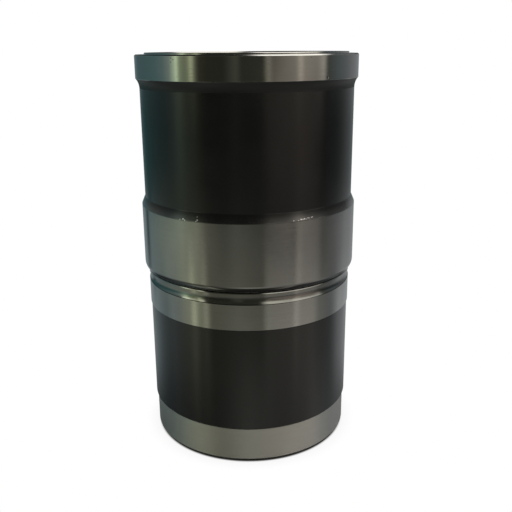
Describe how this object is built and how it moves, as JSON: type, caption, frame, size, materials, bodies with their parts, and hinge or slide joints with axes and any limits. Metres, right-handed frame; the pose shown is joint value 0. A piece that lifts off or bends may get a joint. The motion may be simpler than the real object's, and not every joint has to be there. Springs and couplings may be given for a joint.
{
  "type": "cylinder liner",
  "caption": "Wet cylinder liner for a diesel engine: flanged iron tube with a honed bore, fire ring, mid seat band, ground guide bands and dark coolant-side coating.",
  "frame": {"origin": "centre of the foot, on the bore axis, at the height of the surface the liner stands on", "axes": "+Z along the bore axis, from the foot to the flange; X and Y are alike, because the part is turned all over"},
  "size_m": [0.131, 0.131, 0.2364],
  "materials": {
    "liner_iron": "dark phosphate coating on the coolant side, bare ground bands, honed bore"
  },
  "bodies": {
    "root": {"cylinder_liner": "liner_iron"}
  },
  "joints": []
}
